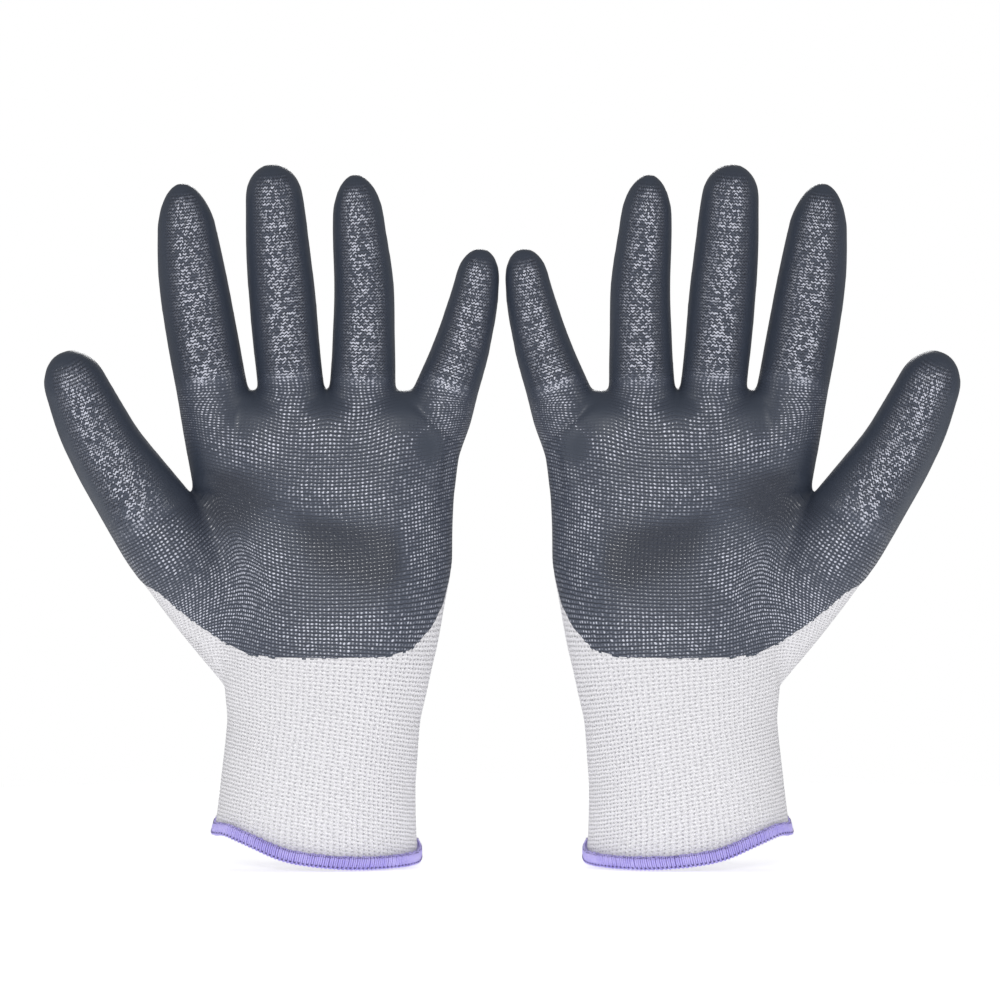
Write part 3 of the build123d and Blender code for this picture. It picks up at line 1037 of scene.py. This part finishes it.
def knit_material(name):
    """White nylon knit, with painted shade in its dimples, and soaked dark where the rubber ends."""
    nodes = Nodes(name)
    vector, u, v = nodes.uv("knit")
    wobble = nodes.sway(vector, 0.35, 0.9)
    height, hole = stitch_height(nodes, nodes.plus(u, wobble), nodes.plus(v, wobble))
    # Noise and the dimple weight set how much painted shade goes into the knit's dimples.
    painted_light_and_shade = nodes.ramp(nodes.noise(nodes.object_coordinates(), 38.0), 0.35, 0.68, 0.55, 1.0)
    painted_light_and_shade = nodes.times(painted_light_and_shade, nodes.value("painted_dimple_shade"))
    grey = nodes.ramp(nodes.noise(vector, 0.95, 4.0), 0.44, 0.68)
    fleck = nodes.ramp(nodes.noise(vector, 1.5, 3.0), 0.46, 0.66)
    # Painted shade: the dimples are darkened towards the second colour.
    cloth = nodes.blend(nodes.times(nodes.times(hole, painted_light_and_shade), 0.85), KNIT_WHITE, KNIT_DIMPLE_SHADE)
    cloth = nodes.blend(nodes.times(grey, 0.55), cloth, KNIT_GREY)
    cloth = nodes.blend(nodes.times(fleck, 0.70), cloth, KNIT_FLECK)
    edge = nodes.value("coat_edge")
    tooth = nodes.cell_noise(nodes.over(u, DOT_WALE), nodes.over(v, DOT_COURSE))
    soaked = nodes.ramp(nodes.plus(edge, nodes.times(tooth, 1.1)), 0.42, 0.56)
    colour = nodes.blend(soaked, cloth, RUBBER_SOAKED)
    nodes.set(Base_Color=colour, Normal=nodes.bump(height, KNIT_RELIEF), Roughness=0.85,
              Specular_IOR_Level=0.3, Sheen_Weight=0.25, Sheen_Roughness=0.5)
    return nodes.material


def rubber_material():
    """Dipped rubber: a bead over every loop of the knit, finer and crinkled on the digits, with painted
    highlights on the tops and painted shade in the valleys.
    """
    nodes = Nodes("dipped_rubber")
    vector, u, v = nodes.uv("knit")
    finger, plain, painted_light_and_shade = (nodes.value(name) for name in ("fingers", "plain", "painted_light_and_shade"))
    wobble = nodes.sway(vector, 0.4, 1.1)
    across, wale = centred(nodes, nodes.plus(u, wobble), DOT_WALE)
    up, course = centred(nodes, nodes.plus(v, nodes.times(wobble, 0.7)), DOT_COURSE)
    chance = nodes.cell_noise(wale, course)
    far = nodes.plus(nodes.squared(nodes.over(across, 0.44)), nodes.squared(nodes.over(up, 0.40)))
    bead = nodes.sum("MAXIMUM", nodes.minus(1.0, far), 0.0)
    bead = nodes.times(bead, nodes.ramp(chance, 0.0, 1.0, 0.68, 1.0))
    ridge = nodes.hump(up, 0.46)
    bead = nodes.sum("MAXIMUM", bead, nodes.times(ridge, 0.30))
    waver = nodes.sway(vector, 0.8, 1.7)
    u_digit = nodes.plus(u, waver)
    half_across, half_wale = centred(nodes, u_digit, CRINKLE_WALE)
    lean = nodes.times(nodes.sum("ABSOLUTE", half_across), CRINKLE_WALE * 0.7)
    v_digit = nodes.plus(nodes.plus(v, nodes.times(waver, 0.55)), lean)
    row_up, row = centred(nodes, v_digit, CRINKLE_COURSE)
    luck = nodes.cell_noise(nodes.times(half_wale, 2.0), row)
    crease = nodes.hump(row_up, 0.40)
    fold = nodes.times(crease, nodes.ramp(luck, 0.05, 0.85, 0.15, 1.0))
    on_palm, on_digit = nodes.ramp(finger, 1.0, 0.35), nodes.ramp(finger, 0.0, 0.65)
    mixed = nodes.sum("MAXIMUM", nodes.times(bead, on_palm), nodes.times(fold, on_digit))
    rows = nodes.sum("MAXIMUM", nodes.times(ridge, on_palm), nodes.times(crease, on_digit))
    textured = nodes.minus(1.0, nodes.times(plain, 0.92))
    relief = nodes.times(mixed, textured)
    grain = nodes.noise(vector, 3.2, 3.0)
    height = nodes.plus(relief, nodes.times(grain, 0.22))
    cloudy = nodes.ramp(nodes.noise(nodes.object_coordinates(), 45.0, 3.0), 0.3, 0.7)
    valley = nodes.blend(cloudy, *RUBBER_VALLEYS)
    # Painted shade: crests go darker where the painted light and shade value falls below 0.
    crest = nodes.blend(nodes.ramp(painted_light_and_shade, -0.9, 0.0), *RUBBER_CRESTS)
    body = nodes.blend(nodes.ramp(rows, 0.0, 0.5), valley, crest)
    satin = nodes.blend(plain, body, RUBBER_PLAIN)
    mottle = nodes.ramp(nodes.noise(nodes.object_coordinates(), 150.0, 3.0), 0.36, 0.64, 0.72, 1.15)
    # Painted highlights: how much pale glint colour goes on the tops, most in the painted-light patches
    # and streaks.
    painted_highlight_share = nodes.times(nodes.ramp(painted_light_and_shade, -0.45, 0.85, 0.10, 1.95), mottle)
    glint = nodes.ramp(relief, 0.36, 0.92)
    shine = nodes.times(glint, painted_highlight_share)
    shine = nodes.times(shine, nodes.ramp(chance, 0.1, 0.95, 0.55, 1.0))
    colour = nodes.blend(nodes.sum("MINIMUM", shine, 1.0), satin, RUBBER_PAINTED_HIGHLIGHT)
    rough = nodes.ramp(relief, 0.05, 0.55, 0.62, 0.20)
    rough = nodes.minus(rough, nodes.times(plain, 0.20))
    nodes.set(Base_Color=colour, Normal=nodes.bump(height, BEAD_RELIEF), Roughness=rough,
              Specular_IOR_Level=0.5)
    return nodes.material


def thread_material(name, deep, pale, light):
    nodes = Nodes(name)
    place = nodes.object_coordinates()
    fibre = nodes.noise(place, 1800.0, 3.0)
    shade = nodes.ramp(nodes.noise(place, 160.0), 0.3, 0.7)
    lilac = nodes.blend(shade, deep, pale)
    colour = nodes.blend(nodes.ramp(fibre, 0.40, 0.7, 0.0, 0.4), lilac, light)
    nodes.set(Base_Color=colour, Normal=nodes.bump(fibre, FIBRE_RELIEF), Roughness=0.6,
              Sheen_Weight=0.3, Sheen_Roughness=0.4)
    return nodes.material


# ---- Camera, light and floor -------------------------------------------------------------
SKY_LIGHT = 0.30          # strength of the even light from all round
CAMERA_DISTANCE = 1.6     # metres in front of the gloves
VIEW_WIDTH = 0.3566       # metres that the camera sees across at the gloves
# Each lamp's place, what it is aimed at, its width and height in metres, and its power in watts.
LAMPS = {
    "key": ((-0.10, -1.65, 0.62), (0, 0, 0.13), 0.5, 0.26, 8.5),
    "left": ((-0.62, -0.42, 0.34), (0, 0, 0.15), 0.14, 0.40, 0.75),
    "right": ((0.62, -0.42, 0.34), (0, 0, 0.15), 0.14, 0.40, 0.75),
    "back": ((0.0, 1.5, 0.9), (0, 0, 0.13), 0.5, 0.4, 5.0),
}


def set_studio():
    set_camera()
    set_lamps()
    set_sky()
    set_floor()


def set_camera():
    camera_data = bpy.data.cameras.new("camera")
    camera = bpy.data.objects.new("camera", camera_data)
    bpy.context.scene.collection.objects.link(camera)
    camera_data.sensor_width = 36.0
    camera_data.lens = camera_data.sensor_width * CAMERA_DISTANCE / VIEW_WIDTH
    camera_data.clip_end = 20.0
    camera.location = (-0.0008, -CAMERA_DISTANCE - 0.006, 0.1314)
    camera.rotation_euler = (math.radians(90), 0, 0)
    bpy.context.scene.camera = camera


def set_lamps():
    for name, (place, aim, width, height, power) in LAMPS.items():
        data = bpy.data.lights.new(name, "AREA")
        data.shape = "RECTANGLE"
        data.size, data.size_y = width, height
        data.energy = power
        light = bpy.data.objects.new(name, data)
        light.location = place
        light.rotation_euler = (Vector(aim) - Vector(place)).to_track_quat("-Z", "Y").to_euler()
        bpy.context.scene.collection.objects.link(light)


def set_sky():
    """Even light on the gloves, and white where the camera sees past them."""
    world = bpy.data.worlds.new("studio")
    world.use_nodes = True
    sky = world.node_tree
    seen = sky.nodes.new("ShaderNodeLightPath").outputs["Is Camera Ray"]
    strength = sky.nodes.new("ShaderNodeMapRange")
    strength.inputs["To Min"].default_value = SKY_LIGHT
    strength.inputs["To Max"].default_value = 1.0
    sky.links.new(seen, strength.inputs["Value"])
    sky.links.new(strength.outputs["Result"], sky.nodes["Background"].inputs["Strength"])
    sky.nodes["Background"].inputs["Color"].default_value = (1, 1, 1, 1)
    bpy.context.scene.world = world
    bpy.context.scene.view_settings.view_transform = "Standard"


def set_floor():
    deselect_all()
    bpy.ops.mesh.primitive_circle_add(vertices=128, radius=0.5, fill_type="NGON", location=(0, 0, 0))
    floor = bpy.context.active_object
    floor.name = "floor"
    floor_nodes = Nodes("floor_white")
    floor_nodes.set(Base_Color=(0.92, 0.92, 0.92, 1), Roughness=0.9)
    floor_nodes.set(Emission_Color=(1, 1, 1, 1), Emission_Strength=0.55)
    floor.data.materials.append(floor_nodes.material)


# ---- Gloves ------------------------------------------------------------------------------
def left_skin():
    skin = merged_skin()
    shape_skin(skin)
    cut_skin(skin)
    sag_cuff(skin)
    arrays = Skin(skin)
    bpy.data.objects.remove(skin)
    return arrays


def pieces_of(side, skin, materials):
    """Every shell of one glove; the cuff's and the hand's are placed on the hand."""
    mirrored = side == "right"
    zones = ["cuff", "hand"] + [f"{d.name}_{part}" for d in DIGITS for part in ("root", "tip")]
    flat = np.zeros(len(skin.co))
    wall = np.full(len(skin.co), KNIT_WALL)
    rise = COAT_EDGE_WALL + (COAT_WALL - COAT_EDGE_WALL) * smoothstep(0, 1.6 * MM, skin.place.coat)
    for zone in zones:
        here = skin.zone == zone
        liner_name = {"cuff": "elastic_cuff", "hand": "hand_liner"}.get(zone, f"{zone}_liner")
        coat_name = "palm_coating" if zone == "hand" else f"{zone}_coating"
        liner = shell_piece(f"{side}_{liner_name}_knit", skin, here, flat, wall, mirrored)
        liner.data.materials.append(materials["cuff" if zone == "cuff" else "knit"])
        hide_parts(f"{side}_{liner_name}")
        made = [liner]
        if zone != "cuff":
            coat = shell_piece(f"{side}_{coat_name}_skin", skin, here & skin.dipped, rise, rise, mirrored)
            coat.data.materials.append(materials["rubber"])
            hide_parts(f"{side}_{coat_name}")
            made.append(coat)
        for piece in made:
            place_piece(piece, side, zone)


def place_piece(piece, side, zone):
    """Rides on the hand; a digit's piece only has its placement baked into its points."""
    if zone in ("cuff", "hand"):
        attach(piece, f"{side}_hand")
        return
    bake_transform(piece)


def main():
    set_studio()
    materials = {"knit": knit_material("nylon_knit"), "cuff": knit_material("elastic_knit"),
                 "rubber": rubber_material()}
    for key, look in THREADS.items():
        materials[key] = thread_material(*look)
    skin = left_skin()
    path = HemPath()
    for side in ("left", "right"):
        pieces_of(side, skin, materials)
        hem_pieces(side, path, materials)


main()
